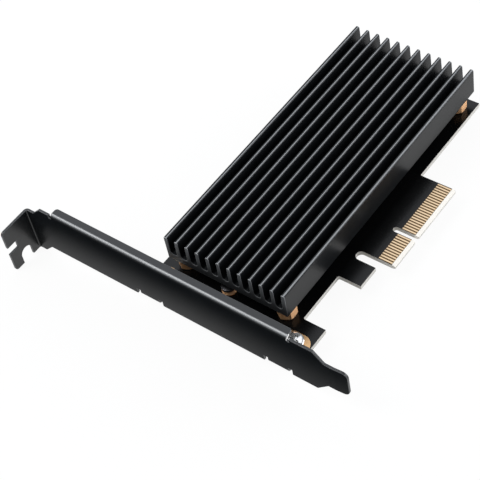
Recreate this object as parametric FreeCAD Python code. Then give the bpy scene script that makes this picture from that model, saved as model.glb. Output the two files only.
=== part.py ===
# PCI Express x4 adapter card for one M.2 drive: a circuit board under a finned heatsink,
# with its full-height slot bracket screwed on.
#
# Frame, in millimetres: X = 0 is the middle of the key notch in the edge connector and +X runs
# from the bracket to the far end of the board.  Y = 0 is the tip of the edge connector and +Y
# runs up the card to the ear of the bracket.  Z = 0 is the solder side of the board and +Z is
# the component side.
import FreeCAD
import Part

import math
import os

from FreeCAD import Vector

# ---------------------------------------------------------------- driving dimensions

# Circuit board and its edge connector
board_thickness = 1.57
board_height = 61.8
board_to_bracket = 0.55
body_edge = 12.65
router_radius = 0.5
tip_corner_radius = 0.4
contact_pitch = 1.0
contact_width = 0.7
contact_start = 1.3
contact_length = 4.73
plating = 0.04
first_contact = 1.5
near_contacts = 11
far_contacts = 21
tongue_margin = 0.65
key_width = 1.9
key_depth = 8.4
tip_chamfer_height = 1.3
tip_chamfer_depth = 0.45
latch_slot_width = 3.25
small_foot_width = 8.0
foot_gap = 18.2
foot_drop = 7.9

# Slot bracket, one folded sheet of steel
sheet = 0.86
key_to_bracket = 57.15
bend_radius = 0.5
bracket_length = 120.02
bracket_width = 18.42
fold_height = 104.55
bare_edge_drop = 0.5
ear_length = 11.43
ear_shift = 3.3
ear_corner = 1.2
neck_chamfer_start = 2.75
ear_screw_offset = 5.4
ear_screw_width = 4.42
ear_screw_depth = 3.1
ear_slot_width = 3.05
ear_slot_depth = 3.85
ear_slot_height = 7.85
tongue_width = 10.19
tongue_shoulder = -3.5
tongue_corner = 2.0
tongue_bend = -9.9
tongue_bend_angle = 4.0
tongue_bend_radius = 6.0
flange_depth = 3.3
flange_low = 5.0
flange_high = 93.6
flange_corner = 1.0
flange_relief_width = 0.8
flange_relief_depth = 1.7
tab_width = 7.3
tab_eye_radius = 4.0
tab_reach = 7.1
tab_relief_width = 1.3
tab_relief_height = 1.4
low_tab = 10.15
high_tab_from_edge = 3.9

# Bracket screws and the plated pads that they clamp
bracket_screw_radius = 1.5
bracket_screw_length = 5.0
bracket_head_radius = 3.2
bracket_head_height = 1.5
rim_share = 0.4
recess_arm = 0.5
recess_web = 0.12
recess_depth = 0.6
bracket_pad_width = 7.5
low_pad_length = 10.2
hole_clearance = 0.15
thread_clearance = 0.02

# Drive bay: socket, standoff and the lengths of drive that it takes
drive_length = 80.0
drive_thickness = 0.8
drive_width = 22.0
shorter_drives = (60.0, 42.0, 30.0)
drive_axis = 37.8
collar_setback = 1.6
collar_radius = 2.25
collar_height = 1.8
spigot_radius = 1.5
spigot_recess = 0.25
clamp_thread_radius = 1.0
clamp_head_radius = 2.3
clamp_head_height = 0.9
clamp_screw_length = 1.6
lock_head_radius = 2.1
lock_head_height = 0.8
lock_screw_length = 1.3

# Socket for the drive's edge
socket_width = 21.9
socket_height = 3.2
socket_front_depth = 3.7
socket_back_depth = 3.3
socket_slot_width = 20.15
socket_slot_height = 1.2
socket_pitch = 0.5
socket_positions = 75
socket_key_first = 59
socket_key_last = 66
socket_key_width = 1.0
spring_width = 0.2
spring_thickness = 0.15
spring_foot = 1.0
spring_start = 0.8
lock_plate = 0.25
lock_plate_width = 2.6
lock_plate_height = 1.6

# Heatsink, its thermal pad and the standoffs under it
heatsink_setback = 11.25
heatsink_overhang = 0.1
board_beyond_socket = 21.8
heatsink_gap = 4.33
heatsink_height = 9.6
base_thickness = 2.6
fin_pitch = 3.9
fin_tip_width = 1.15
fin_root_width = 1.5
fin_tip_radius = 0.3
fin_root_radius = 1.1
base_radius = 0.3
heatsink_low_margin = 14.65
heatsink_high_margin = 3.05
thermal_pad_thickness = 0.5
thermal_pad_margin = 0.5
standoff_across_flats = 5.5
standoff_near_inset = 3.6
standoff_far_inset = 5.3
standoff_low_inset = 3.35
standoff_high_inset = 4.0
standoff_thread_radius = 1.25
standoff_thread_depth = 3.3
stud_length = 2.0
stud_pocket_clearance = 0.2
back_screw_length = 4.4
back_head_radius = 2.4
back_head_height = 1.5

# Small parts behind the socket: length, width, height of a chip and its metal ends
capacitor = (2.0, 1.25, 1.25)
capacitor_end = 0.4
capacitor_count = 6
capacitor_pitch = 3.2
capacitor_distance = 5.4
resistor = (1.6, 0.8, 0.45)
resistor_end = 0.3
resistor_count = 4
resistor_pitch = 4.2
resistor_distance = 9.2
end_wrap = 0.03

# ---------------------------------------------------------------- derived places

board_top = board_thickness
x_inner = -key_to_bracket
x_outer = x_inner - sheet
board_near_x = x_inner + board_to_bracket
x_tongue_near = -(first_contact + (near_contacts - 1) * contact_pitch + tongue_margin)
x_tongue_far = first_contact + (far_contacts - 1) * contact_pitch + tongue_margin
x_slot_near = x_tongue_near - latch_slot_width
x_foot_near = x_slot_near - small_foot_width
x_gap_near = x_foot_near - foot_gap
foot_edge = body_edge - foot_drop

heatsink_front = x_inner + heatsink_setback
collar_x = heatsink_front + collar_setback
drive_stop = collar_x + drive_length
board_far_x = drive_stop + board_beyond_socket
heatsink_far = board_far_x + heatsink_overhang
heatsink_room = board_height - heatsink_low_margin - heatsink_high_margin
fin_count = int((heatsink_room - fin_tip_width) / fin_pitch + 1e-6) + 1
heatsink_width = (fin_count - 1) * fin_pitch + fin_root_width
heatsink_mid_y = heatsink_low_margin + heatsink_room / 2
heatsink_low_y = heatsink_mid_y - heatsink_width / 2
heatsink_high_y = heatsink_mid_y + heatsink_width / 2
heatsink_bottom = board_top + heatsink_gap
heatsink_floor = heatsink_bottom + base_thickness
heatsink_top = heatsink_bottom + heatsink_height
standoff_places = [
    (x, y)
    for x in (heatsink_front + standoff_near_inset, heatsink_far - standoff_far_inset)
    for y in (heatsink_low_y + standoff_low_inset, heatsink_high_y - standoff_high_inset)
]

pad_top = board_top + plating
tab_top = -plating
tab_bottom = tab_top - sheet
bend_outer = bend_radius + sheet
z_low = tab_bottom
z_high = z_low + bracket_width
z_bare = z_high - bare_edge_drop
ear_low = z_low - ear_shift
ear_high = z_bare - ear_shift
ear_outer_y = fold_height + sheet
tongue_tip = ear_outer_y - bracket_length
tongue_mid = (z_low + z_high) / 2
tongue_low = tongue_mid - tongue_width / 2
tongue_high = tongue_mid + tongue_width / 2
tab_hole_x = x_inner + tab_reach
high_tab = board_height - high_tab_from_edge
tab_places = (low_tab, high_tab)

module_bottom = board_top + collar_height
slot_middle = module_bottom + drive_thickness / 2
slot_floor = slot_middle - socket_slot_height / 2
slot_ceiling = slot_middle + socket_slot_height / 2
socket_front = drive_stop - socket_front_depth
socket_back = drive_stop + socket_back_depth
socket_top = board_top + socket_height


# ---------------------------------------------------------------- geometry helpers

def on_plane(plane, u, v, offset):
    """Point (u, v) of a sketch on plane XY, YZ or XZ, at the given offset along its normal."""
    if plane == "XY":
        return Vector(u, v, offset)
    if plane == "YZ":
        return Vector(offset, u, v)
    return Vector(u, offset, v)


def normal_of(plane):
    """Unit vector along which a sketch on the plane is extruded."""
    return {"XY": Vector(0, 0, 1), "YZ": Vector(1, 0, 0), "XZ": Vector(0, 1, 0)}[plane]


def rounded_wire(corners, plane, offset):
    """Closed outline through corners (u, v, radius), each rounded by a tangent arc."""
    points = [Vector(u, v, 0) for u, v, _ in corners]
    edges = []
    arcs = []
    for index, (_, _, radius) in enumerate(corners):
        here = points[index]
        back = (points[index - 1] - here).normalize()
        ahead = (points[(index + 1) % len(points)] - here).normalize()
        if radius == 0:
            arcs.append((here, None, here))
            continue
        half_angle = math.acos(max(-1.0, min(1.0, back.dot(ahead)))) / 2
        reach = radius / math.tan(half_angle)
        inward = (back + ahead).normalize()
        middle = here + inward * (radius / math.sin(half_angle) - radius)
        arcs.append((here + back * reach, middle, here + ahead * reach))
    for index, (start, middle, end) in enumerate(arcs):
        if middle is not None:
            three = [on_plane(plane, p.x, p.y, offset) for p in (start, middle, end)]
            edges.append(Part.Arc(*three).toShape())
        following = arcs[(index + 1) % len(arcs)][0]
        if end.distanceToPoint(following) > 1e-6:
            edges.append(Part.LineSegment(on_plane(plane, end.x, end.y, offset),
                                          on_plane(plane, following.x, following.y, offset)).toShape())
    return Part.Wire(Part.__sortEdges__(edges))


def prism(corners, plane, offset, length):
    """Solid made by extruding a rounded outline along the normal of its plane."""
    face = Part.Face(rounded_wire(corners, plane, offset))
    return face.extrude(normal_of(plane) * length)


def block(x0, x1, y0, y1, z0, z1):
    """Box between two corners."""
    return Part.makeBox(x1 - x0, y1 - y0, z1 - z0, Vector(x0, y0, z0))


def post(x, y, z0, z1, radius):
    """Upright cylinder between two heights."""
    return Part.makeCylinder(radius, z1 - z0, Vector(x, y, z0))


def bend(plane, centre_u, centre_v, offset, length, inner, outer, start, end):
    """Part of a tube wall, the sheet between two flats, swept between angles in degrees."""
    def at(radius, angle):
        turn = math.radians(angle)
        return on_plane(plane, centre_u + radius * math.cos(turn),
                        centre_v + radius * math.sin(turn), offset)

    middle = (start + end) / 2
    edges = [
        Part.Arc(at(inner, start), at(inner, middle), at(inner, end)).toShape(),
        Part.LineSegment(at(inner, end), at(outer, end)).toShape(),
        Part.Arc(at(outer, end), at(outer, middle), at(outer, start)).toShape(),
        Part.LineSegment(at(outer, start), at(inner, start)).toShape(),
    ]
    return Part.Face(Part.Wire(edges)).extrude(normal_of(plane) * length)


def fused(solids):
    """One clean solid out of several that meet."""
    first, *others = solids
    return first.multiFuse(others).removeSplitter()


def obround(x, y, width, length, z0, z1):
    """Plate with full-round ends, long in Y; a disc when length equals width."""
    if length <= width:
        return post(x, y, z0, z1, width / 2)
    half = length / 2
    corners = [
        (x - width / 2, y - half, width / 2 - 1e-4),
        (x + width / 2, y - half, width / 2 - 1e-4),
        (x + width / 2, y + half, width / 2 - 1e-4),
        (x - width / 2, y + half, width / 2 - 1e-4),
    ]
    return prism(corners, "XY", z0, z1 - z0)


def pan_head_screw(head_radius, head_height, shank_radius, shank_length):
    """Cross-recessed screw standing on Z = 0, head up; the shank goes down."""
    rim = head_height * rim_share
    corners = [
        (0, -shank_length),
        (shank_radius, -shank_length),
        (shank_radius, 0),
        (head_radius, 0),
        (head_radius, head_height - rim),
        (head_radius - rim, head_height),
        (0, head_height),
    ]
    profile = Part.makePolygon([Vector(r, 0, z) for r, z in corners + corners[:1]])
    screw = Part.Face(profile).revolve(Vector(0, 0, 0), Vector(0, 0, 1), 360)
    arm = head_radius * recess_arm
    web = head_radius * recess_web
    floor = head_height * (1 - recess_depth)
    cross = [block(-along, along, -across, across, floor, head_height + 1)
             for along, across in ((arm, web), (web, arm))]
    return screw.cut(cross[0].fuse(cross[1]))


def placed(solid, x, y, z, upside_down=False):
    """Copy of a solid moved to a place, turned over when it goes in from below."""
    copy = solid.copy()
    if upside_down:
        copy.rotate(Vector(0, 0, 0), Vector(1, 0, 0), 180)
    copy.translate(Vector(x, y, z))
    return copy


# ---------------------------------------------------------------- circuit board

def contact_columns():
    """X of every edge contact, on both sides of the key notch."""
    near = [-(first_contact + i * contact_pitch) for i in range(near_contacts)]
    far = [first_contact + i * contact_pitch for i in range(far_contacts)]
    return near + far


def shorter_drive_columns():
    """X of the plated holes that take the collar for shorter drives."""
    return [drive_stop - length for length in shorter_drives]


def make_board():
    """Board with its stepped lower edge, the chamfered connector tip and every plated hole."""
    slot_round = latch_slot_width / 2 - 1e-4
    key_round = key_width / 2 - 1e-4
    outline = [
        (board_near_x, foot_edge, 0),
        (x_gap_near, foot_edge, 0),
        (x_gap_near, body_edge, router_radius),
        (x_foot_near, body_edge, router_radius),
        (x_foot_near, foot_edge, 0),
        (x_slot_near, foot_edge, 0),
        (x_slot_near, body_edge, slot_round),
        (x_tongue_near, body_edge, slot_round),
        (x_tongue_near, 0, tip_corner_radius),
        (-key_width / 2, 0, tip_corner_radius),
        (-key_width / 2, key_depth, key_round),
        (key_width / 2, key_depth, key_round),
        (key_width / 2, 0, tip_corner_radius),
        (x_tongue_far, 0, tip_corner_radius),
        (x_tongue_far, body_edge, router_radius),
        (board_far_x, body_edge, 0),
        (board_far_x, board_height, 0),
        (board_near_x, board_height, 0),
    ]
    board = prism(outline, "XY", 0, board_thickness)
    past = 1.0
    for z_face, z_tip in ((board_top, board_top - tip_chamfer_depth), (0, tip_chamfer_depth)):
        slope = (z_face - z_tip) / tip_chamfer_height
        wedge = [
            (tip_chamfer_height + past, z_face + slope * past, 0),
            (-past, z_tip - slope * past, 0),
            (-past, z_face + slope * past, 0),
        ]
        board = board.cut(prism(wedge, "YZ", x_tongue_near - past, x_tongue_far - x_tongue_near + 2 * past))
    holes = [(tab_hole_x, y, bracket_screw_radius + hole_clearance) for y in tab_places]
    holes += [(x, y, standoff_thread_radius + hole_clearance) for x, y in standoff_places]
    holes += [(x, drive_axis, spigot_radius + hole_clearance) for x in [collar_x] + shorter_drive_columns()]
    for x, y, radius in holes:
        board = board.cut(post(x, y, -past, board_top + past, radius))
    return board


def make_contacts(z0):
    """Row of gold contact pads on one face of the tongue."""
    half = contact_width / 2
    end = contact_start + contact_length
    return Part.makeCompound([
        block(x - half, x + half, contact_start, end, z0, z0 + plating) for x in contact_columns()
    ])


def make_bracket_pads(z0):
    """Gold pads round the two bracket screws; the low one is long so the screw can be set."""
    pads = []
    for y, length in ((low_tab, low_pad_length), (high_tab, bracket_pad_width)):
        pad = obround(tab_hole_x, y, bracket_pad_width, length, z0, z0 + plating)
        hole = post(tab_hole_x, y, z0 - 1, z0 + 1, bracket_screw_radius + hole_clearance)
        pads.append(pad.cut(hole))
    return Part.makeCompound(pads)


# ---------------------------------------------------------------- bracket

def plate_outline():
    """Flat of the bracket seen from outside, from the fold of the ear to the bend in its tongue."""
    fold_start = fold_height - bend_radius
    neck_low = fold_height - neck_chamfer_start
    bevel = ear_shift
    shoulder_low = tongue_low - z_low
    shoulder_high = z_bare - tongue_high
    return [
        (fold_start, ear_low, 0),
        (neck_low, ear_low, 0.3),
        (neck_low - bevel, z_low, 0.3),
        (tongue_shoulder, z_low, 0.3),
        (tongue_shoulder - shoulder_low, tongue_low, 0.3),
        (tongue_bend, tongue_low, 0),
        (tongue_bend, tongue_high, 0),
        (tongue_shoulder - shoulder_high, tongue_high, 0.3),
        (tongue_shoulder, z_bare, 0.3),
        (neck_low - bevel, z_bare, 0.3),
        (neck_low, ear_high, 0.3),
        (fold_start, ear_high, 0),
    ]


def make_tongue_tip():
    """End of the tongue, leant a few degrees towards the board so that it finds its slot."""
    arc_centre = x_inner + tongue_bend_radius
    lean = bend("XY", arc_centre, tongue_bend, tongue_low, tongue_width, tongue_bend_radius,
                tongue_bend_radius + sheet, 180, 180 + tongue_bend_angle)
    turn = math.radians(tongue_bend_angle)
    drop = tongue_bend - tongue_tip - (tongue_bend_radius + sheet) * math.sin(turn)
    end = tongue_bend - drop / math.cos(turn)
    flat = [
        (tongue_bend, tongue_low, 0),
        (end, tongue_low, tongue_corner),
        (end, tongue_high, tongue_corner),
        (tongue_bend, tongue_high, 0),
    ]
    tip = prism(flat, "YZ", x_outer, sheet)
    tip.rotate(Vector(arc_centre, tongue_bend, 0), Vector(0, 0, 1), tongue_bend_angle)
    return [lean, tip]


def make_ear():
    """Ear that is screwed to the case, with its open screw notch and a slot for a case hook."""
    end = x_outer - ear_length
    start = x_outer - bend_radius
    notch_x = x_outer - ear_screw_offset
    outline = [
        (start, ear_low, 0),
        (start, ear_high, 0),
        (end, ear_high, ear_corner),
        (end, ear_low, ear_corner),
    ]
    ear = prism(outline, "XZ", fold_height, sheet)
    half = ear_screw_width / 2
    notch_middle = ear_low + ear_screw_depth
    low_y = fold_height - 1
    notch_cut = Part.makeCylinder(half, sheet + 2, Vector(notch_x, low_y, notch_middle), Vector(0, 1, 0))
    mouth = block(notch_x - half, notch_x + half, low_y, ear_outer_y + 1, ear_low - 1, notch_middle)
    slot_z = ear_low + ear_slot_height
    slot = block(end - 1, end + ear_slot_depth, low_y, ear_outer_y + 1, slot_z, slot_z + ear_slot_width)
    fold = bend("XY", x_outer - bend_radius, fold_height - bend_radius, ear_low, ear_high - ear_low,
                bend_radius, bend_outer, 0, 90)
    return [ear.cut(notch_cut).cut(mouth).cut(slot), fold]


def make_tab(y):
    """Eyelet tab under the board, with the bend that joins it to the plate."""
    half = tab_width / 2
    flat_start = x_inner + bend_radius
    strip = block(flat_start, tab_hole_x, y - half, y + half, tab_bottom, tab_top)
    eye = post(tab_hole_x, y, tab_bottom, tab_top, tab_eye_radius)
    eye = eye.common(block(flat_start, tab_hole_x + 2 * tab_eye_radius, y - 2 * half, y + 2 * half,
                           tab_bottom - 1, tab_top + 1))
    fold = bend("XZ", flat_start, tab_top + bend_radius, y - half, tab_width,
                bend_radius, bend_outer, 180, 270)
    return [strip, eye, fold]


def make_flange():
    """Stiffening flange along the edge of the plate on the component side."""
    flat_start = x_inner + bend_radius
    flat = [
        (flat_start, flange_low, 0),
        (x_outer + flange_depth, flange_low, flange_corner),
        (x_outer + flange_depth, flange_high, flange_corner),
        (flat_start, flange_high, 0),
    ]
    top = prism(flat, "XY", z_high - sheet, sheet)
    fold = bend("XZ", flat_start, z_high - bend_outer, flange_low, flange_high - flange_low,
                bend_radius, bend_outer, 90, 180)
    return [top, fold]


def make_bracket():
    """Whole bracket: the plate is opened where it folds, then each folded limb is joined on."""
    plate = prism(plate_outline(), "YZ", x_outer, sheet)
    low_x = x_outer - 1
    high_x = x_inner + 1
    plate = plate.cut(block(low_x, high_x, flange_low - flange_relief_width,
                            flange_high + flange_relief_width, z_high - bend_outer, z_high + 1))
    for y0 in (flange_low - flange_relief_width, flange_high):
        plate = plate.cut(block(low_x, high_x, y0, y0 + flange_relief_width,
                                z_high - flange_relief_depth, z_high + 1))
    limbs = make_ear() + make_tongue_tip() + make_flange()
    for y in tab_places:
        half = tab_width / 2
        plate = plate.cut(block(low_x, high_x, y - half, y + half, z_low - 1, z_low + bend_outer))
        for y0 in (y - half - tab_relief_width, y + half):
            plate = plate.cut(block(low_x, high_x, y0, y0 + tab_relief_width, z_low - 1, tab_relief_height))
        limbs += make_tab(y)
    bracket = fused([plate] + limbs)
    for y in tab_places:
        hole = post(tab_hole_x, y, tab_bottom - 1, tab_top + 1, bracket_screw_radius + thread_clearance)
        bracket = bracket.cut(hole)
    return bracket


# ---------------------------------------------------------------- drive bay

def socket_columns(row):
    """Y of the springs in one row of the socket; odd positions are on the upper row."""
    middle = (socket_positions + 1) / 2
    return [
        drive_axis + (position - middle) * socket_pitch / 2
        for position in range(1, socket_positions + 1)
        if position % 2 == row and not socket_key_first <= position <= socket_key_last
    ]


def upper_spring(y, room=0.0):
    """Spring on the ceiling of the slot, out through the back and down to its solder foot."""
    half = spring_width / 2 + room
    run = block(socket_front + spring_start - room, socket_back + spring_thickness, y - half, y + half,
                slot_ceiling - spring_thickness - room, slot_ceiling)
    drop = block(socket_back, socket_back + spring_thickness, y - half, y + half, pad_top, slot_ceiling)
    foot = block(socket_back, socket_back + spring_foot, y - half, y + half, pad_top,
                 pad_top + spring_thickness)
    return fused([run, drop, foot])


def lower_spring(y):
    """Spring on the floor of the slot, out at the mouth and down to its solder foot."""
    half = spring_width / 2
    run = block(socket_front - spring_thickness, drive_stop - spring_start, y - half, y + half,
                slot_floor, slot_floor + spring_thickness)
    drop = block(socket_front - spring_thickness, socket_front, y - half, y + half, pad_top,
                 slot_floor + spring_thickness)
    foot = block(socket_front - spring_foot, socket_front, y - half, y + half, pad_top,
                 pad_top + spring_thickness)
    return fused([run, drop, foot])


def make_socket():
    """Socket housing with its slot, the key bar across it and a groove for every upper spring."""
    half = socket_width / 2
    body = block(socket_front, socket_back, drive_axis - half, drive_axis + half, pad_top, socket_top)
    slot_half = socket_slot_width / 2
    body = body.cut(block(socket_front - 1, drive_stop, drive_axis - slot_half, drive_axis + slot_half,
                          slot_floor, slot_ceiling))
    middle = (socket_positions + 1) / 2
    key_mid = drive_axis + ((socket_key_first + socket_key_last) / 2 - middle) * socket_pitch / 2
    key_half = socket_key_width / 2
    bar = block(socket_front + spring_start, drive_stop, key_mid - key_half, key_mid + key_half,
                slot_floor, slot_ceiling)
    grooves = Part.makeCompound([upper_spring(y, thread_clearance) for y in socket_columns(1)])
    return fused([body, bar]).cut(grooves)


def make_lock_plates():
    """Metal plates at both ends of the socket, soldered down to hold it to the board."""
    plates = []
    middle = (socket_front + socket_back) / 2
    for side in (-1, 1):
        face = drive_axis + side * socket_width / 2
        edges = sorted((face, face + side * lock_plate))
        foot = sorted((face, face + side * (lock_plate + spring_foot)))
        upright = block(middle - lock_plate_width / 2, middle + lock_plate_width / 2, *edges,
                        pad_top, pad_top + lock_plate_height)
        base = block(middle - lock_plate_width / 2, middle + lock_plate_width / 2, *foot,
                     pad_top, pad_top + lock_plate)
        plates.append(fused([upright, base]))
    return Part.makeCompound(plates)


def make_collar():
    """Brass collar that carries the free end of the drive, stepped into its plated hole."""
    collar = post(collar_x, drive_axis, board_top, module_bottom, collar_radius)
    spigot = post(collar_x, drive_axis, spigot_recess, board_top, spigot_radius)
    bore = post(collar_x, drive_axis, -1, module_bottom + 1, clamp_thread_radius + thread_clearance)
    return fused([collar, spigot]).cut(bore)


# ---------------------------------------------------------------- heatsink and standoffs

def heatsink_outline():
    """Extruded section of the heatsink: a flat base and a row of tapered fins."""
    taper = (fin_root_width - fin_tip_width) / 2
    corners = [(y, heatsink_bottom, base_radius) for y in (heatsink_high_y, heatsink_low_y)]
    for fin in range(fin_count):
        root_low = heatsink_low_y + fin * fin_pitch
        root_high = root_low + fin_root_width
        if fin > 0:
            corners.append((root_low, heatsink_floor, fin_root_radius))
        tip_low = root_low if fin == 0 else root_low + taper
        tip_high = root_high if fin == fin_count - 1 else root_high - taper
        corners.append((tip_low, heatsink_top, fin_tip_radius))
        corners.append((tip_high, heatsink_top, fin_tip_radius))
        if fin < fin_count - 1:
            corners.append((root_high, heatsink_floor, fin_root_radius))
    return corners


def make_heatsink():
    """Heatsink cut from its extrusion, with a tapped pocket over each standoff."""
    heatsink = prism(heatsink_outline(), "YZ", heatsink_front, heatsink_far - heatsink_front)
    ceiling = heatsink_bottom + stud_length + stud_pocket_clearance
    radius = standoff_thread_radius + thread_clearance
    for x, y in standoff_places:
        heatsink = heatsink.cut(post(x, y, heatsink_bottom - 1, ceiling, radius))
    return heatsink


def make_standoff():
    """Hexagonal standoff on Z = 0: tapped from below, with a stud on top."""
    corner = standoff_across_flats / math.sqrt(3)
    turns = [math.radians(60 * i) for i in range(6)]
    hexagon = [(corner * math.cos(turn), corner * math.sin(turn), 0) for turn in turns]
    bar = prism(hexagon, "XY", 0, heatsink_gap)
    stud = post(0, 0, heatsink_gap, heatsink_gap + stud_length, standoff_thread_radius)
    body = fused([bar, stud])
    return body.cut(post(0, 0, -1, standoff_thread_depth, standoff_thread_radius + thread_clearance))


def make_thermal_pad():
    """Soft pad under the heatsink, over the drive."""
    half = drive_width / 2 - thermal_pad_margin
    start = collar_x + clamp_head_radius + thermal_pad_margin + standoff_across_flats / 2
    end = socket_front - spring_foot - thermal_pad_margin
    return block(start, end, drive_axis - half, drive_axis + half,
                 heatsink_bottom - thermal_pad_thickness, heatsink_bottom)


# ---------------------------------------------------------------- small parts

def chip(size, end, x, y):
    """Chip part lying along X: its body and the two metal ends that wrap it."""
    length, width, height = size
    core = block(x - length / 2 + end_wrap, x + length / 2 - end_wrap, y - width / 2 + end_wrap,
                 y + width / 2 - end_wrap, pad_top + end_wrap, pad_top + height - end_wrap)
    caps = []
    for side in (-1, 1):
        edges = sorted((x + side * length / 2, x + side * (length / 2 - end)))
        cap = block(*edges, y - width / 2, y + width / 2, pad_top, pad_top + height)
        caps.append(cap.cut(core))
    return core, caps


def make_chips(size, end, count, pitch, distance):
    """Row of equal chip parts behind the socket: all bodies, then all ends."""
    x = socket_back + distance
    bodies = []
    ends = []
    for index in range(count):
        y = drive_axis + (index - (count - 1) / 2) * pitch
        body, caps = chip(size, end, x, y)
        bodies.append(body)
        ends += caps
    return Part.makeCompound(bodies), Part.makeCompound(ends)


# ---------------------------------------------------------------- assembly

def screws_at(screw, places, z, upside_down):
    """The same screw in several places."""
    return Part.makeCompound([placed(screw, x, y, z, upside_down) for x, y in places])


def make_nodes():
    """Every separate piece of the card, by name."""
    bracket_screw = pan_head_screw(bracket_head_radius, bracket_head_height,
                                   bracket_screw_radius, bracket_screw_length)
    back_screw = pan_head_screw(back_head_radius, back_head_height,
                                standoff_thread_radius, back_screw_length)
    clamp_screw = pan_head_screw(clamp_head_radius, clamp_head_height,
                                 clamp_thread_radius, clamp_screw_length)
    lock_screw = pan_head_screw(lock_head_radius, lock_head_height,
                                clamp_thread_radius, lock_screw_length)
    standoff = make_standoff()
    tab_holes = [(tab_hole_x, y) for y in tab_places]
    collar_hole = [(collar_x, drive_axis)]
    capacitors, capacitor_ends = make_chips(capacitor, capacitor_end, capacitor_count,
                                            capacitor_pitch, capacitor_distance)
    resistors, resistor_ends = make_chips(resistor, resistor_end, resistor_count,
                                          resistor_pitch, resistor_distance)
    return {
        "circuit_board": make_board(),
        "edge_contacts_component_side": make_contacts(board_top),
        "edge_contacts_solder_side": make_contacts(-plating),
        "bracket_pads_component_side": make_bracket_pads(board_top),
        "bracket_pads_solder_side": make_bracket_pads(-plating),
        "slot_bracket": make_bracket(),
        "bracket_screws": screws_at(bracket_screw, tab_holes, pad_top, False),
        "heatsink": make_heatsink(),
        "thermal_pad": make_thermal_pad(),
        "heatsink_standoffs": screws_at(standoff, standoff_places, board_top, False),
        "heatsink_screws": screws_at(back_screw, standoff_places, 0, True),
        "drive_socket_housing": make_socket(),
        "drive_socket_upper_springs": Part.makeCompound([upper_spring(y) for y in socket_columns(1)]),
        "drive_socket_lower_springs": Part.makeCompound([lower_spring(y) for y in socket_columns(0)]),
        "drive_socket_lock_plates": make_lock_plates(),
        "drive_collar": make_collar(),
        "drive_clamp_screw": screws_at(clamp_screw, collar_hole, module_bottom, False),
        "collar_screw": screws_at(lock_screw, collar_hole, 0, True),
        "capacitor_bodies": capacitors,
        "capacitor_ends": capacitor_ends,
        "resistor_bodies": resistors,
        "resistor_ends": resistor_ends,
    }


os.makedirs("parts", exist_ok=True)
for name, shape in make_nodes().items():
    shape.exportStep("parts/" + name + ".step")
    print(name, len(shape.Solids), "solids", round(shape.Volume, 2), "mm3", shape.isValid())
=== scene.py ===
# %% [markdown]
# # An adapter card for one M.2 drive
#
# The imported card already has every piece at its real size.  This lesson gives it its finishes,
# carves the pieces that a plain solid can't do justice to, and sets up the studio round it.
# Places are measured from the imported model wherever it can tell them.


import math

import bmesh
import bpy
import numpy as np
from mathutils import Matrix, Vector


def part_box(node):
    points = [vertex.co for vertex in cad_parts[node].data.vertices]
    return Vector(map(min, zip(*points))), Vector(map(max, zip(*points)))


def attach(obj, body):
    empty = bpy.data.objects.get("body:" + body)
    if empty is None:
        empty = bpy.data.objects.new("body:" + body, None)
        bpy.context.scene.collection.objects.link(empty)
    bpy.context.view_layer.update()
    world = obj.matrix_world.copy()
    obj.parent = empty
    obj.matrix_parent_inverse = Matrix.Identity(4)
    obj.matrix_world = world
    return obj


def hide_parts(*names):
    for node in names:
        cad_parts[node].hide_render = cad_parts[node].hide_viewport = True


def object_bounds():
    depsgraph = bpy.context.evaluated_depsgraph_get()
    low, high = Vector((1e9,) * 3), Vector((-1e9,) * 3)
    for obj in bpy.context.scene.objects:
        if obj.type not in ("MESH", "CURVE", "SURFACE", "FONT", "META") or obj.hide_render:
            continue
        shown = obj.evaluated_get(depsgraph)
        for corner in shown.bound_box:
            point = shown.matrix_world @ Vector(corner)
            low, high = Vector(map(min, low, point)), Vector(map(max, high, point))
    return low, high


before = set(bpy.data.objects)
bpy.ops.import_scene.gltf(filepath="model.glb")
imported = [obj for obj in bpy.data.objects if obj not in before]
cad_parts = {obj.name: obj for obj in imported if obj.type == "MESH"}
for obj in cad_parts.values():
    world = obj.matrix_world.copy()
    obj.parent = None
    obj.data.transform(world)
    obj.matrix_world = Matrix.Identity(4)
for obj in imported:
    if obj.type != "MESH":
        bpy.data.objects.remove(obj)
cad_low, cad_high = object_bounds()
MM = 0.001
print("card:", [round(v / MM, 2) for v in cad_high - cad_low], "mm")


# %% Read a piece's place, in millimetres
def span(node):
    """Lowest and highest corner of a piece of the card, as two arrays in millimetres."""
    low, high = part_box(node)
    return np.array(low) / MM, np.array(high) / MM


board_low, board_high = span("circuit_board")
board_top = board_high[2]
sheet = 0.86
board_to_bracket = 0.55
plate_x = board_low[0] - board_to_bracket - sheet
bracket_high = span("slot_bracket")[1]
flange_top = bracket_high[2]
ear_y = bracket_high[1]
sink_low, sink_high = span("heatsink")
print("board", round(board_top, 2), "mm thick, heatsink", np.round(sink_high - sink_low, 2), "mm")


# %% [markdown]
# ## Shader maths that reads like arithmetic
#
# A finish is a small network of nodes, and most of it is arithmetic on coordinates and noise.
# It could be wired node by node, but then the idea is lost among the links.  So one class
# wraps a socket and overloads the operators: `1 - worn * 0.4` adds the Math nodes by itself.


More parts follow.
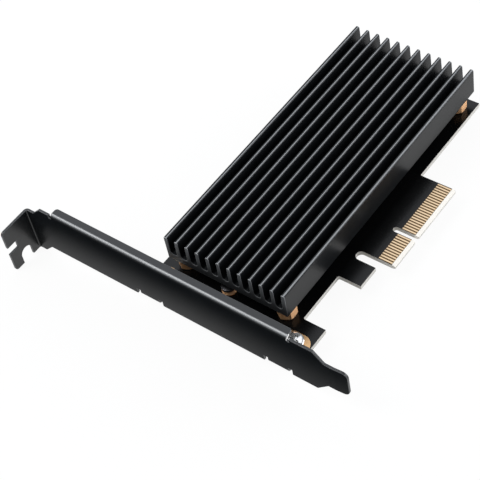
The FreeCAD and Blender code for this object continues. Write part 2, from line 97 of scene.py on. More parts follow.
# %% A socket that takes part in arithmetic
class Wire:
    """The output of a node in a finish.  Arithmetic on it adds Math nodes."""

    def __init__(self, finish, socket):
        self.finish = finish
        self.socket = socket

    def math(self, operation, *values):
        """The output of a Math node that is fed these values."""
        return self.finish.node("ShaderNodeMath", {"operation": operation}, dict(enumerate(values)))

    def __add__(self, other):
        return self.math("ADD", self, other)

    def __radd__(self, other):
        return self.math("ADD", other, self)

    def __sub__(self, other):
        return self.math("SUBTRACT", self, other)

    def __rsub__(self, other):
        return self.math("SUBTRACT", other, self)

    def __mul__(self, other):
        return self.math("MULTIPLY", self, other)

    def __rmul__(self, other):
        return self.math("MULTIPLY", other, self)

    def __mod__(self, other):
        return self.math("FLOORED_MODULO", self, other)

    def __rmod__(self, other):
        return self.math("FLOORED_MODULO", other, self)

    def __abs__(self):
        return self.math("ABSOLUTE", self)

    def above(self, limit):
        """1 where the value is over the limit, else 0."""
        return self.math("GREATER_THAN", self, limit)

    def below(self, limit):
        """1 where the value is under the limit, else 0."""
        return self.math("LESS_THAN", self, limit)

    def within(self, low, high):
        """1 where the value lies between two limits, else 0."""
        return self.above(low) * self.below(high)

    def most(self, other):
        """The larger of two values."""
        return self.math("MAXIMUM", self, other)

    def ramp(self, start, end):
        """Smooth step from 0 at start to 1 at end."""
        return self.finish.node(
            "ShaderNodeMapRange",
            {"interpolation_type": "SMOOTHSTEP"},
            {"Value": self, "From Min": start, "From Max": end},
        )


# %% A finish, from its first node to its shader
class Finish:
    """A material being made: a Principled shader and the nodes that vary it."""

    def __init__(self, name, **constants):
        self.material = bpy.data.materials.new(name)
        self.material.use_nodes = True
        self.tree = self.material.node_tree
        self.shader = self.tree.nodes["Principled BSDF"]
        for socket, value in constants.items():
            self.shader.inputs[socket.replace("_", " ")].default_value = value

    def node(self, kind, settings=None, values=None, output=0):
        """Add a node: its settings first, then a number or a link for each input."""
        made = self.tree.nodes.new(kind)
        for name, setting in (settings or {}).items():
            setattr(made, name, setting)
        for name, value in (values or {}).items():
            self.feed(made.inputs[name], value)
        return Wire(self, made.outputs[output])

    def feed(self, socket, value):
        """Link a wire to a socket, or set the socket to a plain value."""
        if isinstance(value, Wire):
            self.tree.links.new(value.socket, socket)
        else:
            socket.default_value = value

    def vary(self, **wires):
        """Feed varying values to the shader."""
        for socket, wire in wires.items():
            self.feed(self.shader.inputs[socket.replace("_", " ")], wire)
        return self.material

    def place(self):
        """Object coordinates in millimetres, as three wires."""
        point = self.node("ShaderNodeTexCoord", output="Object")
        split = self.node("ShaderNodeSeparateXYZ", values={"Vector": point})
        return [Wire(self, part) * (1 / MM) for part in split.socket.node.outputs]

    def vector(self, x, y, z):
        """Three wires or numbers as one vector."""
        return self.node("ShaderNodeCombineXYZ", values={"X": x, "Y": y, "Z": z})

    def from_axis(self, x, y, axis):
        """Distance of a point from an upright axis at the given place."""
        values = {0: self.vector(x, y, 0.0), 1: (axis[0], axis[1], 0.0)}
        return self.node("ShaderNodeVectorMath", {"operation": "DISTANCE"}, values, output="Value")

    def noise(self, place, scale, detail=3.0, roughness=0.55):
        """Cloudy noise from 0 to 1.

        The scale is in clouds to a millimetre: one number, or one for each axis.
        """
        scales = np.broadcast_to(scale, 3).tolist()
        vector = self.vector(*(part * times for part, times in zip(place, scales)))
        values = {"Vector": vector, "Scale": 1.0, "Detail": detail, "Roughness": roughness}
        return self.node("ShaderNodeTexNoise", {"noise_dimensions": "3D"}, values)

    def blend(self, factor, first, second):
        """Colour that goes from the first to the second as the factor goes from 0 to 1.

        The Mix node has a set of sockets for each type of data.  Its colours come in at 6 and 7
        and go out at 2.
        """
        values = {0: factor, 6: first, 7: second}
        return self.node("ShaderNodeMix", {"data_type": "RGBA"}, values, output=2)

    def bump(self, height, depth_mm):
        """Surface relief: a height of 1 stands this many millimetres proud."""
        return self.node("ShaderNodeBump", values={"Height": height, "Distance": depth_mm * MM})


def shade(value, warmth=0.0):
    """A grey as a colour, a little warmer or, below zero, cooler."""
    return (value * (1 + warmth), value, value * (1 - warmth), 1.0)


print("shader maths ready")


# %% [markdown]
# ## Shapes from formulas
#
# A new piece here is always a grid of points: one direction runs along a profile, the other
# round an axis or along an extrusion.  numpy works the whole grid out at once, and one helper
# turns it into a closed mesh, welding the seam and the poles.


# %% Turn a grid of points into a piece
crease_degrees = 35


def ring_faces(rows, columns):
    """Corner numbers of every quad of a grid whose last column joins the first."""
    row, column = np.meshgrid(np.arange(rows - 1), np.arange(columns), indexing="ij")
    following = (column + 1) % columns
    corners = [row * columns + column, row * columns + following,
               (row + 1) * columns + following, (row + 1) * columns + column]
    return np.stack(corners, axis=-1).reshape(-1, 4)


def shade_smooth(mesh, sharp_degrees=crease_degrees):
    """Smooth shading that breaks at every edge sharper than an angle."""
    mesh.polygons.foreach_set("use_smooth", np.ones(len(mesh.polygons), bool))
    mesh.set_sharp_from_angle(angle=math.radians(sharp_degrees))


def shell(name, grids, caps=False, sharp_degrees=crease_degrees):
    """Mesh of one or more (rows, columns, 3) grids in millimetres, welded shut, facing outwards."""
    points = []
    faces = []
    start = 0
    for grid in grids:
        rows, columns = grid.shape[:2]
        faces += (ring_faces(rows, columns) + start).tolist()
        if caps:
            faces.append(list(range(start, start + columns)))
            faces.append(list(range(start + (rows - 1) * columns, start + rows * columns)))
        points.append(grid.reshape(-1, 3))
        start += rows * columns
    mesh = bpy.data.meshes.new(name)
    mesh.from_pydata((np.concatenate(points) * MM).tolist(), [], faces)
    work = bmesh.new()
    work.from_mesh(mesh)
    bmesh.ops.remove_doubles(work, verts=work.verts, dist=1e-7)
    bmesh.ops.recalc_face_normals(work, faces=work.faces)
    work.to_mesh(mesh)
    work.free()
    shade_smooth(mesh, sharp_degrees)
    print(name, len(mesh.polygons), "faces")
    return mesh


# %% Put a piece into the scene
def add_piece(name, mesh, finishes, slot, *nodes):
    """Put a mesh with its list of finishes into the scene, in place of some nodes of the card."""
    piece = bpy.data.objects.new(name, mesh)
    bpy.context.scene.collection.objects.link(piece)
    for finish in finishes:
        mesh.materials.append(finish)
    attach(piece, "root")
    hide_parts(*nodes)
    return piece


def keep_flats(piece):
    """Live modifier that keeps smooth shading from bending the light on flat faces."""
    piece.modifiers.new("flat_faces_stay_flat", "WEIGHTED_NORMAL").keep_sharp = True


# %% [markdown]
# ## Softened edges on sheet and board
#
# The bracket, the board and the moulded parts are right as they are, but a real edge is never
# dead sharp: it catches a thin line of light.  A copy of the solid's triangles is welded and
# given a live Bevel.  A sheet has just two sides, which run on smoothly round every bend, so
# they are the two largest smooth patches: all other faces are where the sheet was cut, and they
# and the bevels can take finishes of their own.  These show the thinner coat there, and the
# lighter one on the bevels is also a painted highlight.


# %% Tell a sheet's two sides from its cut edges
def cut_faces(work):
    """Numbers of the faces outside the two largest patches that no sharp edge crosses."""
    patches = []
    waiting = set(work.faces)
    while waiting:
        patch = [waiting.pop()]
        for face in patch:
            for edge in face.edges:
                if edge.calc_face_angle(math.pi) < math.radians(crease_degrees):
                    joined = waiting.intersection(edge.link_faces)
                    waiting -= joined
                    patch.extend(joined)
        patches.append(patch)
    patches.sort(key=lambda patch: sum(face.calc_area() for face in patch), reverse=True)
    return [face.index for patch in patches[2:] for face in patch]


# %% Copy a solid and round its edges
def softened(name, node, finishes, slot, width):
    """Welded copy of a solid with rounded edges.

    A single finish covers everything.  Of three, the second goes on the rounded edges and the
    third on the cut faces of a sheet.
    """
    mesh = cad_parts[node].data.copy()
    mesh.materials.clear()
    work = bmesh.new()
    work.from_mesh(mesh)
    bmesh.ops.remove_doubles(work, verts=work.verts, dist=1e-6)
    flat = math.radians(0.5)
    bmesh.ops.dissolve_limit(work, angle_limit=flat, verts=work.verts, edges=work.edges)
    work.faces.index_update()
    choice = np.zeros(len(work.faces), np.int32)
    if len(finishes) == 3:
        choice[cut_faces(work)] = 2
    work.to_mesh(mesh)
    work.free()
    mesh.polygons.foreach_set("material_index", choice)
    shade_smooth(mesh)
    piece = add_piece(name, mesh, finishes, slot, node)
    bevel = piece.modifiers.new("rounded_edges", "BEVEL")
    bevel.width = width * MM
    bevel.segments = 2
    bevel.limit_method = "ANGLE"
    bevel.angle_limit = math.radians(crease_degrees)
    bevel.use_clamp_overlap = True
    bevel.material = 1 if len(finishes) == 3 else -1
    keep_flats(piece)
    print(name, len(mesh.polygons), "faces before rounding")


# %% [markdown]
# ## Satin black bracket
#
# The bracket is steel sheet with a thin black electro-coat.  The coat is glossy where nothing
# touches it, on the flange and round its fold.  The long plate is pressed against the case, which
# has rubbed it matt, most of all close under the fold.  One base with a clear coat over it says
# just that: the weight of the clear coat is what varies.  The sharp borders of the sheared edges
# are painted lighter, for the thinner coat there and as a painted highlight.  Along the crest of
# the fold the base colour carries a painted highlight.  Round the bend z + x grows steadily from
# the plate to the flange, so that sum alone tells how far round it is.


# %% Coat of the bracket
bend_radius = 0.5
fold_radius = bend_radius + sheet
fold_middle = flange_top + plate_x
# Where the painted highlight along the fold peaks, and how far it rises and falls round the bend
crest_place = fold_middle + 0.74
crest_rise = 1.30
crest_fall = 0.55
flange_start = 5.0
flange_end = 93.6
plate_foot = -4.0
plate_end = ear_y - 1.0
gloss_start = fold_middle - 1.3
gloss_full = fold_middle + 0.8
gloss_left = 0.46
print("the fold's crest lies where z + x is", round(crest_place, 2))


def bracket_coat():
    """Matt black base, clear coat that thins out on the plate, and a painted highlight along the
    fold.
    """
    finish = Finish("satin_black_coat", Specular_IOR_Level=0.0, Coat_Roughness=0.3, Coat_IOR=1.5)
    x, y, z = place = finish.place()
    cloud = finish.noise(place, 0.12)
    grain = finish.noise(place, 4, detail=2.0)
    round_bend = z + x
    # Painted highlight: a pale band in the base colour along the crest of the fold
    crest_highlight = round_bend.ramp(crest_place - crest_rise, crest_place) * (
        1 - round_bend.ramp(crest_place, crest_place + crest_fall))
    crest_highlight = crest_highlight * y.within(flange_start, flange_end)
    plate = y.below(plate_end) * x.below(plate_x + fold_radius)
    gloss = 1 - plate * (1 - round_bend.ramp(gloss_start, gloss_full))
    away_from_fold = 1 - z.ramp(plate_foot, flange_top - 2)
    away_from_tongue = 0.55 + y.ramp(-12, 45) * 0.45
    gloss = gloss.most(plate * gloss_left * away_from_fold * away_from_tongue)
    colour = finish.blend(cloud, shade(0.006, -0.12), shade(0.010, -0.12))
    return finish.vary(
        # the painted highlight along the fold goes into the base colour here
        Base_Color=finish.blend(crest_highlight * (0.85 + grain * 0.15), colour, shade(0.33, -0.03)),
        Coat_Weight=gloss * (0.92 + grain * 0.12),
        Roughness=0.6 + cloud * 0.1,
        Normal=finish.bump(grain, 0.004),
    )


fold_reach = 1.5
bare_depth = 0.2


def sheared_edge(name, dark, light):
    """Thin coat where the sheet was cut, with the shear's lines; pale tones also make a painted
    highlight.

    The fold's near end, where the flange starts, is bare steel.
    """
    finish = Finish(name, IOR=1.5)
    x, y, z = place = finish.place()
    shear = finish.noise(place, (2, 5, 5), detail=2.0)
    at_start = y.within(flange_start - bare_depth, flange_start + bare_depth)
    bare = at_start * z.above(flange_top - fold_reach) * x.below(plate_x + fold_reach)
    coat = finish.blend(shear, shade(dark, -0.04), shade(light, -0.04))
    return finish.vary(
        Base_Color=finish.blend(bare, coat, shade(0.9)),
        Metallic=bare,
        Roughness=0.30 + shear * 0.1 - bare * 0.12,
        Normal=finish.bump(shear, 0.004),
    )


# The rounded borders of the cut edges are painted lighter: thinner coat there, and a painted
# highlight.
bracket_finishes = [
    bracket_coat(), sheared_edge("worn_edges_painted_highlight", 0.05, 0.10), sheared_edge("cut_edges", 0.012, 0.03)]
softened("folded_bracket", "slot_bracket", bracket_finishes, "bracket_coat", 0.12)


# %% [markdown]
# ## Board: mask, laminate and hidden copper
#
# The board is glass-epoxy laminate, cream where the router has cut it, under a semi-gloss black
# mask.  Both are one piece, so one finish has to know where the mask ends: only the two faces
# are masked, and the chamfered tip of the connector is not.  The chamfer was ground and keeps a
# pale cream; the routed edges are painted a darker copy of it, which is painted shade.  Copper
# tracks lift the mask by about a hundredth of a millimetre, which shows as faint ridges in the
# sheen.  Round the holes the mask is left open, and the copper there is gilded; the plating runs
# on down the hole's wall.


# %% Axes of equal pieces that stand at the corners of a box
def axes_of(node, reach_x, reach_y):
    """Upright axes of the pieces of one node, given how far each reaches from its own axis."""
    low, high = span(node)
    xs = np.unique(np.round([low[0] + reach_x, high[0] - reach_x], 3))
    ys = np.unique(np.round([low[1] + reach_y, high[1] - reach_y], 3))
    return [(x, y) for x in xs for y in ys]


across_flats = 5.5
collar_radius = 2.25
standoff_axes = axes_of("heatsink_standoffs", across_flats / math.sqrt(3), across_flats / 2)
collar_axes = axes_of("drive_collar", collar_radius, collar_radius)
shorter_by = (0, 20, 38, 50)  # drives come 80, 60, 42 and 30 mm long
drive_axes = [(collar_axes[0][0] + step, collar_axes[0][1]) for step in shorter_by]
print("standoffs at", np.array(standoff_axes).tolist())
print("drives end at", np.array(drive_axes).tolist())


# %% Solder mask, laminate and gilded rings
skin = 0.02
tongue_start = -12.0
tongue_end = 22.0
chamfer_height = 1.6
mask_start = 6.1
hole_wall = 1.68  # just outside the holes, whose radius is 1.65
track_pitch = 2.0
track_sides = (0.28, 0.72)  # from the middle of each pair
tracks_rise = (7.4, 7.8)
tracks_fall = (25.0, 26.0)


def gilded_rings(finish, x, y, on_face):
    """1 on the gilded rings round the holes for the drive's collar, and on the holes' walls."""
    gilded = 0.0
    for axis in drive_axes:
        distance = finish.from_axis(x, y, axis)
        ring = distance.below(collar_radius) * on_face
        gilded = ring.most(distance.below(hole_wall)).most(gilded)
    return gilded


def board_finish():
    """Black mask on both faces, cream laminate on every cut edge and on the chamfered tip."""
    finish = Finish("mask_and_laminate", IOR=1.5, Specular_IOR_Level=0.24)
    x, y, z = place = finish.place()
    mask = abs(z - board_top / 2).above(board_top / 2 - skin)
    rings = gilded_rings(finish, x, y, mask)
    fibre = finish.noise(place, (0.9, 0.9, 9), detail=4.0)
    on_tongue = x.within(tongue_start, tongue_end)
    ground = y.within(2 * skin, chamfer_height) * on_tongue
    # Painted shade: the routed edges get a darker copy of the chamfer's cream
    shaded_routed_edge = finish.blend(fibre, (0.53, 0.508, 0.465, 1), (0.57, 0.547, 0.505, 1))
    ground_edge = finish.blend(fibre, (0.82, 0.785, 0.72, 1), (0.85, 0.815, 0.75, 1))
    cream = finish.blend(ground, shaded_routed_edge, ground_edge)
    cloud = finish.noise(place, 0.08)
    black = finish.blend(cloud, shade(0.0012, -0.06), shade(0.003, -0.08))
    bare = y.below(mask_start) * on_tongue
    coloured = finish.blend(bare, black, (0.10, 0.058, 0.020, 1))
    gilt = finish.blend(fibre, (0.80, 0.60, 0.40, 1), (0.90, 0.72, 0.50, 1))
    from_middle = abs(x % track_pitch - track_pitch / 2)
    track = from_middle.within(*track_sides) * y.ramp(*tracks_rise) * (1 - y.ramp(*tracks_fall))
    ripple = finish.noise(place, 2.2, detail=2.0)
    return finish.vary(
        Base_Color=finish.blend(rings, finish.blend(mask, cream, coloured), gilt),
        Metallic=rings,
        Roughness=0.62 - mask * 0.42 + cloud * 0.05,
        Normal=finish.bump(track * mask * on_tongue + ripple * 0.10, 0.012),
    )


softened("laminated_board", "circuit_board", [board_finish()], "solder_mask", 0.04)


# %% [markdown]
# ## Gold, brass, tin and nickel
#
# Plated metal is bright because it mirrors the room, so it needs little colour and a fine
# surface.  Gold over nickel is slightly hazy, turned brass has tarnished under a clear lacquer,
# and tin is dull with a soft crystal pattern.  All of them, and the plastics further on, drift
# between two tones, so one function makes the lot.


# %% Plated and turned metals
def drifting(name, dark, light, roughness, grain_scale, grain_depth,
             cloud_scale=0.6, haze=0.1, **constants):
    """Material whose colour drifts between two tones under a fine grain, which adds haze."""
    finish = Finish(name, **constants)
    place = finish.place()
    cloud = finish.noise(place, cloud_scale)
    grain = finish.noise(place, grain_scale, detail=2.0)
    return finish.vary(
        Base_Color=finish.blend(cloud, dark, light),
        Roughness=roughness + grain * haze,
        Normal=finish.bump(grain, grain_depth),
    )


gold = drifting("gold_plating", (0.80, 0.60, 0.39, 1), (0.87, 0.68, 0.47, 1),
                0.22, 5.0, 0.001, Metallic=1.0)
brass = drifting("turned_brass", (0.95, 0.50, 0.24, 1), (1.0, 0.61, 0.33, 1),
                 0.32, 9.0, 0.001, Metallic=0.25, Coat_Weight=0.6, Coat_Roughness=0.1)
pad_gold = drifting("old_pad_gold", (0.55, 0.34, 0.17, 1), (0.77, 0.48, 0.24, 1),
                    0.26, 5.0, 0.002, Metallic=1.0)
nickel = drifting("bright_nickel", (0.64, 0.635, 0.62, 1), (0.72, 0.715, 0.70, 1),
                  0.08, 6.0, 0.001, Metallic=0.9)
tin = drifting("dull_tin", (0.50, 0.50, 0.49, 1), (0.72, 0.72, 0.71, 1),
               0.38, 3.0, 0.006, Metallic=1.0)
black_zinc = drifting("black_zinc", (0.035, 0.035, 0.038, 1), (0.07, 0.07, 0.075, 1),
                      0.28, 6.0, 0.003, Metallic=1.0)
print("metals:", [material.name for material in (gold, brass, pad_gold, nickel, tin, black_zinc)])


# %% Gold contacts with painted shade on their sides
contact_pitch = 1.0
contact_width = 0.7
shaded_side_width = 0.16
first_middle = span("edge_contacts_component_side")[0][0] + contact_width / 2
print("first contact at x =", round(first_middle, 2))


def contact_finish():
    """Hard gold on the contacts; their long sides are painted a darker brown, as painted shade."""
    finish = Finish("hard_gold_contacts", Metallic=1.0)
    place = finish.place()
    x = place[0]
    cloud = finish.noise(place, (0.8, 0.3, 1))
    scratch = finish.noise(place, (9, 0.6, 1), detail=2.0)
    aside = abs((x + contact_pitch / 2 - first_middle) % contact_pitch - contact_pitch / 2)
    # Painted shade: each contact's long sides fade to a dark brown
    shaded_sides = aside.ramp(contact_width / 2 - shaded_side_width, contact_width / 2 - shaded_side_width / 2)
    hard_gold = finish.blend(cloud, (0.60, 0.44, 0.275, 1), (0.66, 0.505, 0.335, 1))
    return finish.vary(
        Base_Color=finish.blend(shaded_sides, hard_gold, (0.15, 0.085, 0.03, 1)),
        Roughness=0.22 + scratch * 0.08,
        Normal=finish.bump(scratch, 0.001),
    )


# %% Put a finish on pieces that stay as they are
def dress(finish, *nodes):
    """Give pieces of the card a finish without touching their shape."""
    for node in nodes:
        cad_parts[node].data.materials.clear()
        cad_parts[node].data.materials.append(finish)
    print(finish.name, "on", nodes)


dress(contact_finish(), "edge_contacts_component_side", "edge_contacts_solder_side")
dress(gold, "drive_socket_upper_springs", "drive_socket_lower_springs")
dress(pad_gold, "bracket_pads_component_side", "bracket_pads_solder_side")


# %% [markdown]
# ## Heatsink: one extruded profile
#
# The heatsink is cut from a long aluminium extrusion, so its shape is a single profile: a flat
# base and twelve tapered fins with round tips and filleted roots.  Modelling fins one by one
# would leave seams at the base.  Here the whole comb is one closed line, and the two sawn ends
# are the same line drawn slightly inwards, which makes their small deburred edge.


# %% Round the corners of an outline
def rounded(corners, radii, arc_points=7):
    """Replace each corner by points on its tangent arc.

    With half the corner's angle h, the arc's centre lies r / sin(h) along the bisector, and its
    points turn from the direction of one flank's normal to that of the other.
    """
    back = np.roll(corners, 1, axis=0) - corners
    ahead = np.roll(corners, -1, axis=0) - corners
    back /= np.linalg.norm(back, axis=1, keepdims=True)
    ahead /= np.linalg.norm(ahead, axis=1, keepdims=True)
    half = np.arccos(np.clip((back * ahead).sum(axis=1), -1, 1)) / 2
    bisector = (back + ahead) / np.linalg.norm(back + ahead, axis=1, keepdims=True)
    centre = corners + bisector * (radii / np.sin(half))[:, None]
    first = corners + back * (radii / np.tan(half))[:, None] - centre
    last = corners + ahead * (radii / np.tan(half))[:, None] - centre
    start = np.arctan2(first[:, 1], first[:, 0])
    turn = (np.arctan2(last[:, 1], last[:, 0]) - start + math.pi) % (2 * math.pi) - math.pi
    angle = start[:, None] + turn[:, None] * np.linspace(0, 1, arc_points)
    round_arc = np.stack([np.cos(angle), np.sin(angle)], axis=-1)
    return (centre[:, None] + radii[:, None, None] * round_arc).reshape(-1, 2)


# %% Profile of the extrusion
fin_count = 12
fin_root_width = 1.5
fin_tip_width = 1.15
fin_tip_radius = 0.52
fin_root_radius = 1.1
base_radius = 0.3
base_thickness = 2.6
fin_pitch = (sink_high[1] - sink_low[1] - fin_root_width) / (fin_count - 1)


def fin_comb():
    """Outline of base and fins in the Y-Z plane, anticlockwise from the base's upper end."""
    taper = (fin_root_width - fin_tip_width) / 2
    root = sink_low[1] + fin_pitch * np.arange(fin_count)[:, None]
    across = root + np.array([0, taper, fin_root_width - taper, fin_root_width])
    across[0, 1] = sink_low[1]
    across[-1, 2] = sink_high[1]
    fin_height = sink_high[2] - sink_low[2] - base_thickness
    up = np.tile(np.array([0, 1, 1, 0]) * fin_height, (fin_count, 1))
    fins = np.stack([across, up + sink_low[2] + base_thickness], axis=-1).reshape(-1, 2)[1:-1]
    radii_of_fin = [fin_root_radius, fin_tip_radius, fin_tip_radius, fin_root_radius]
    radii = np.concatenate([[base_radius] * 2, np.tile(radii_of_fin, fin_count)[1:-1]])
    base = np.array([[sink_high[1], sink_low[2]], [sink_low[1], sink_low[2]]])
    return rounded(np.vstack([base, fins]), radii)


comb = fin_comb()
print("heatsink profile has", len(comb), "points; a fin every", round(fin_pitch, 2), "mm")


# %% Carry the profile along the extrusion
def drawn_in(outline, depth):
    """Outline moved into the metal, square to the line through each point's two neighbours."""
    along = np.roll(outline, -1, axis=0) - np.roll(outline, 1, axis=0)
    along /= np.linalg.norm(along, axis=1, keepdims=True)
    return outline + depth * np.stack([along[:, 1], -along[:, 0]], axis=-1)


def extruded(outline, start, end, edge):
    """Grid that carries an outline along X.

    A row at angle a of the deburred edge lies edge * (1 - cos a) in from the sawn end, and its
    outline is drawn in by edge * (1 - sin a), so both ends are finished by a quarter circle.
    """
    angle = np.radians([0, 30, 60, 90])
    inwards = edge * (1 - np.cos(angle))
    depth = edge * (1 - np.sin(angle))
    place = np.concatenate([start + inwards, end - inwards[::-1]])
    rings = np.stack([drawn_in(outline, inset) for inset in np.concatenate([depth, depth[::-1]])])
    along = np.broadcast_to(place[:, None, None], rings.shape[:2] + (1,))
    return np.concatenate([along, rings], axis=2)


# %% Anodised finish with painted highlights on the crests
deburr = 0.2
side_skin = 0.05
sink_middle = (sink_low[0] + sink_high[0]) / 2
sink_half = (sink_high[0] - sink_low[0]) / 2
# Tilt, reach and depth of the painted highlight on each fin's crest
crest_tilt = math.radians(18)
tip_centre = sink_high[2] - fin_tip_radius
crest_reach = fin_tip_radius + tip_centre * math.cos(crest_tilt) + (
    fin_tip_width / 2 - fin_tip_radius) * math.sin(crest_tilt)
crest_depth = 0.045
bright_depth = 0.008
far_shoulder = -0.3
print("the crests reach", round(crest_reach, 2), "mm up the tilted line they are rubbed from")


def anodised():
    """Black anodising, lighter on the bare sawn ends and rims, with painted highlights and painted
    shade.
    """
    finish = Finish("black_anodising", IOR=1.5, Specular_IOR_Level=0.19)
    x, y, z = place = finish.place()
    across = (y + (fin_pitch - fin_root_width) / 2 - sink_low[1]) % fin_pitch - fin_pitch / 2
    reach = z * math.cos(crest_tilt) - across.most(far_shoulder) * math.sin(crest_tilt)
    # Painted highlight: the crest of each fin is painted lighter along a line tilted towards -Y
    crest_highlight = reach.ramp(crest_reach - crest_depth, crest_reach - bright_depth)
    from_end = sink_half - abs(x - sink_middle)
    end = from_end.below(skin)
    rim = from_end.below(deburr * 0.9) - end
    side = y.below(sink_low[1] + side_skin).most(y.above(sink_high[1] - side_skin))
    draw_lines = finish.noise(place, (0.02, 6, 6), detail=2.0)
    saw_lines = finish.noise(place, (0.1, 1.2, 9), detail=3.0)
    over_base = z.ramp(sink_low[2] + 1.2, sink_low[2] + 2.4)
    flank = finish.blend(draw_lines, shade(0.008, -0.12), shade(0.011, -0.12))
    # Painted shade: the outer sides of the comb get a darker black than the fins' flanks
    outer_shaded = finish.blend(draw_lines, shade(0.004, -0.12), shade(0.008, -0.12))
    # Painted shade: the bare sawn ends and their rims darken towards the fins' roots
    painted_lighter = z.ramp(sink_low[2] + 1, sink_high[2])
    cut = finish.blend(painted_lighter * (0.75 + saw_lines * 0.5), shade(0.022, -0.08), shade(0.16, -0.05))
    colour = finish.blend(crest_highlight, finish.blend(side, flank, outer_shaded), shade(0.25, -0.03))
    colour = finish.blend(end, colour, cut)
    # The rims are bare deburred metal with a painted highlight, lighter above the base and towards
    # the tips
    bare_rim_and_highlight = rim * (0.08 + over_base * 0.09 + painted_lighter * 0.75)
    return finish.vary(
        Base_Color=finish.blend(bare_rim_and_highlight, colour, shade(0.42, -0.03)),
        Roughness=0.29 + draw_lines * 0.10 + end * 0.15,
        Normal=finish.bump(draw_lines * (1 - end) + saw_lines * end, 0.005),
    )


comb_mesh = shell("finned_heatsink", [extruded(comb, sink_low[0], sink_high[0], deburr)], caps=True)
heatsink = add_piece("finned_heatsink", comb_mesh, [anodised()], "anodised", "heatsink")
keep_flats(heatsink)


# %% [markdown]
# ## Screws: one surface from the cross recess to the thread
#
# A screw head is more than a disc: it has a crown, a rounded rim and a cross recess with upright
# walls.  The recess could be cut with a Boolean, which leaves ragged triangles.  Instead the
# columns of a polar grid are bent so that they follow the flanks of the cross, and the same grid
# runs on over the rim, under the head and down the thread.


# %% Surface of a cross-recessed screw
def quarter_columns(flank):
    """Column angles over a quarter turn at each ring: up to the cross's flank, across, and back."""
    near = flank[:, None] * np.array([0, 0.5, 0.94])
    between = flank[:, None] + (math.pi / 2 - 2 * flank[:, None]) * np.linspace(0, 1, 5)
    return np.concatenate([near, between, math.pi / 2 - near[:, :0:-1]], axis=1)


def round_axis(radius, angle, level):
    """Points at a radius, an angle and a level, each a number or an array of matching shape."""
    radius, angle, level = np.broadcast_arrays(radius, angle, level)
    return np.stack([radius * np.cos(angle), radius * np.sin(angle), level], axis=-1)


def screw_surface(head_radius, crown, head_height, shank_radius, length, pitch):
    """Grid over a whole screw that stands on Z = 0 with its head up.

    Rings run outwards from the axis.  The flank of the cross, at half width w, is met on a ring
    of radius r at the angle arcsin(w / r), and the columns crowd up to it on both sides.  The
    crown falls by crown * (r / head radius) squared, and the recess is shallower towards the
    ends of its arms.  The thread's radius falls and rises with the cosine of its turns less the
    angle round the axis, which winds it into a helix.
    """
    arm = 0.52 * head_radius
    web = 0.15 * head_radius
    inner = web * math.sqrt(2)
    recess_depth = 0.62 * head_height
    wall_foot = 0.96
    rim = 0.3 * head_height
    under_rim = 0.08
    recess = np.array([
        0, 0.5 * inner, wall_foot * inner, inner, 0.5 * (inner + arm), wall_foot * arm, arm])
    crown_rings = np.linspace(arm, head_radius - rim, 5)[1:]
    turn = np.radians([30, 60, 90])
    rim_rings = head_radius - rim * (1 - np.sin(turn))
    ring = np.concatenate([
        recess, crown_rings, rim_rings, [head_radius, head_radius - under_rim, shank_radius]])
    domed = np.concatenate([recess, crown_rings]) / (head_radius - rim)
    rim_levels = head_height - crown - rim + rim * np.cos(turn)
    height = np.concatenate([head_height - crown * domed ** 2, rim_levels, [under_rim, 0, 0]])
    flank = np.arcsin(np.minimum(web / np.clip(ring, inner, arm), math.sqrt(0.5)))
    angle = quarter_columns(flank)
    columns = angle.shape[1]
    arm_columns = np.isin(np.arange(columns), [0, 1, 2, columns - 2, columns - 1])
    in_cross = (ring < arm * 0.99)[:, None] & arm_columns
    in_middle = (ring < inner * 0.99)[:, None] & np.ones(columns, bool)
    depth = recess_depth * (1 - 0.45 * ring / arm)
    sunk = height[:, None] - np.where(in_cross | in_middle, depth[:, None], 0)
    angle = np.concatenate([angle + quarter * math.pi / 2 for quarter in range(4)], axis=1)
    head = round_axis(ring[:, None], angle, np.tile(sunk, (1, 4)))
    around = angle[-1]
    thread_step = 0.25 * pitch
    thread_depth = 0.6 * pitch
    tip_length = 0.3
    tip_radius = 0.75 * shank_radius
    drop = -np.arange(thread_step, length - tip_length, thread_step)[:, None]
    groove = 0.5 + 0.5 * np.cos(2 * math.pi * drop / pitch - around)
    thread = round_axis(shank_radius - thread_depth * groove, around, drop)
    tip = round_axis(np.array([tip_radius, 0])[:, None], around, -length)
    return np.concatenate([head, thread, tip])


# %% Stand copies of a shape where the card has them
def standing(grid, places, level, upside_down=False):
    """Copies of a grid moved to their axes; turned over, y and z change sign."""
    turned_grid = grid * np.array([1, -1, -1]) if upside_down else grid
    return [turned_grid + np.array([x, y, level]) for x, y in places]


def screws(node, name, finish, slot, upside_down=False, **sizes):
    """Screws of one node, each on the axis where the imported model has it."""
    low, high = span(node)
    level = low[2] + sizes["head_height"] if upside_down else high[2] - sizes["head_height"]
    axes = axes_of(node, sizes["head_radius"], sizes["head_radius"])
    grids = standing(screw_surface(**sizes), axes, level, upside_down)
    add_piece(name, shell(name, grids), [finish], slot, node)


screws("bracket_screws", "bracket_screw_pair", nickel, "nickel",
       head_radius=3.2, crown=0.3, head_height=1.5, shank_radius=1.5, length=5.0, pitch=0.5)
screws("heatsink_screws", "heatsink_screw_set", black_zinc, "black_screw", upside_down=True,
       head_radius=2.4, crown=0.55, head_height=1.5, shank_radius=1.25, length=4.4, pitch=0.45)
screws("drive_clamp_screw", "clamp_screw", black_zinc, "black_screw",
       head_radius=2.3, crown=0.2, head_height=0.9, shank_radius=1.0, length=1.6, pitch=0.4)
screws("collar_screw", "collar_lock_screw", black_zinc, "black_screw", upside_down=True,
       head_radius=2.1, crown=0.2, head_height=0.8, shank_radius=1.0, length=1.3, pitch=0.4)


